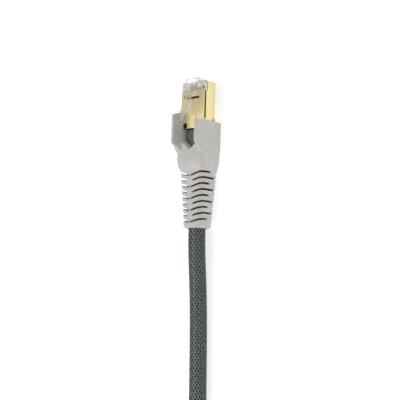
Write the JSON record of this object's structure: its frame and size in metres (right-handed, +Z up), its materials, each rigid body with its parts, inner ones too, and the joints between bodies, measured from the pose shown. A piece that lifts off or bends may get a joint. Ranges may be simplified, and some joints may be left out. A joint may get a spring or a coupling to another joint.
{
  "type": "ethernet patch cable",
  "caption": "Patch cable with a braided sleeve, a gold-shielded modular plug and ribbed latch-guard boot on each end, its spare length in a tied hank.",
  "frame": {"origin": "on the surface the cable lies on, below the middle of the near plug and boot", "axes": "+Y towards the nose of the near plug, +Z up through its latch, +X to the right seen from behind the boot"},
  "size_m": [0.0626, 0.2501, 0.0297],
  "materials": {
    "clear_plastic": "clear polycarbonate, polished",
    "gold_plate": "pale gold flash over nickel, satin to bright at the folds",
    "contact_gold": "bright hard gold plating",
    "boot_grey": "soft light-grey moulded PVC, fine satin",
    "clamp_grey": "dark grey moulded insert",
    "jacket_black": "black PVC jacket, satin",
    "sleeve_grey": "braided monofilament sleeve over the black jacket, slightly glossy",
    "guide_plastic": "milky moulded plastic",
    "tie_black": "black hook-and-loop strap",
    "wire_white_orange": "solid insulation colour, satin",
    "wire_orange": "solid insulation colour, satin",
    "wire_white_green": "solid insulation colour, satin",
    "wire_blue": "solid insulation colour, satin",
    "wire_white_blue": "solid insulation colour, satin",
    "wire_green": "solid insulation colour, satin",
    "wire_white_brown": "solid insulation colour, satin",
    "wire_brown": "solid insulation colour, satin"
  },
  "bodies": {
    "root": {"near_plug_housing": "clear_plastic", "near_shield": "gold_plate", "near_contact_1": "contact_gold", "near_contact_2": "contact_gold", "near_contact_3": "contact_gold", "near_contact_4": "contact_gold", "near_contact_5": "contact_gold", "near_contact_6": "contact_gold", "near_contact_7": "contact_gold", "near_contact_8": "contact_gold", "near_wire_guide": "guide_plastic", "near_wire_white_orange": "wire_white_orange", "near_wire_orange": "wire_orange", "near_wire_white_green": "wire_white_green", "near_wire_blue": "wire_blue", "near_wire_white_blue": "wire_white_blue", "near_wire_green": "wire_green", "near_wire_white_brown": "wire_white_brown", "near_wire_brown": "wire_brown", "near_cable_clamp": "clamp_grey", "near_jacket_end": "jacket_black", "near_boot": "boot_grey", "far_plug_housing": "clear_plastic", "far_shield": "gold_plate", "far_contact_1": "contact_gold", "far_contact_2": "contact_gold", "far_contact_3": "contact_gold", "far_contact_4": "contact_gold", "far_contact_5": "contact_gold", "far_contact_6": "contact_gold", "far_contact_7": "contact_gold", "far_contact_8": "contact_gold", "far_wire_guide": "guide_plastic", "far_wire_white_orange": "wire_white_orange", "far_wire_orange": "wire_orange", "far_wire_white_green": "wire_white_green", "far_wire_blue": "wire_blue", "far_wire_white_blue": "wire_white_blue", "far_wire_green": "wire_green", "far_wire_white_brown": "wire_white_brown", "far_wire_brown": "wire_brown", "far_cable_clamp": "clamp_grey", "far_jacket_end": "jacket_black", "far_boot": "boot_grey", "cord_hank": "sleeve_grey", "hank_tie": "tie_black", "cord_lead": "sleeve_grey", "cord_tail": "sleeve_grey"},
    "near_lever": {"near_latch_lever": "clear_plastic"},
    "far_lever": {"far_latch_lever": "clear_plastic"}
  },
  "joints": [
    {"name": "near_latch", "type": "hinge", "parent": "root", "child": "near_lever", "pos_m": [0, 0.02755, 0.0105], "axis": [1, 0, 0], "range_deg": [0, 14], "stiffness_Nm_per_rad": 0.1},
    {"name": "far_latch", "type": "hinge", "parent": "root", "child": "far_lever", "pos_m": [-0.0012, -0.1991, 0.02359], "axis": [-1, 0, 0], "range_deg": [0, 14], "stiffness_Nm_per_rad": 0.1}
  ]
}
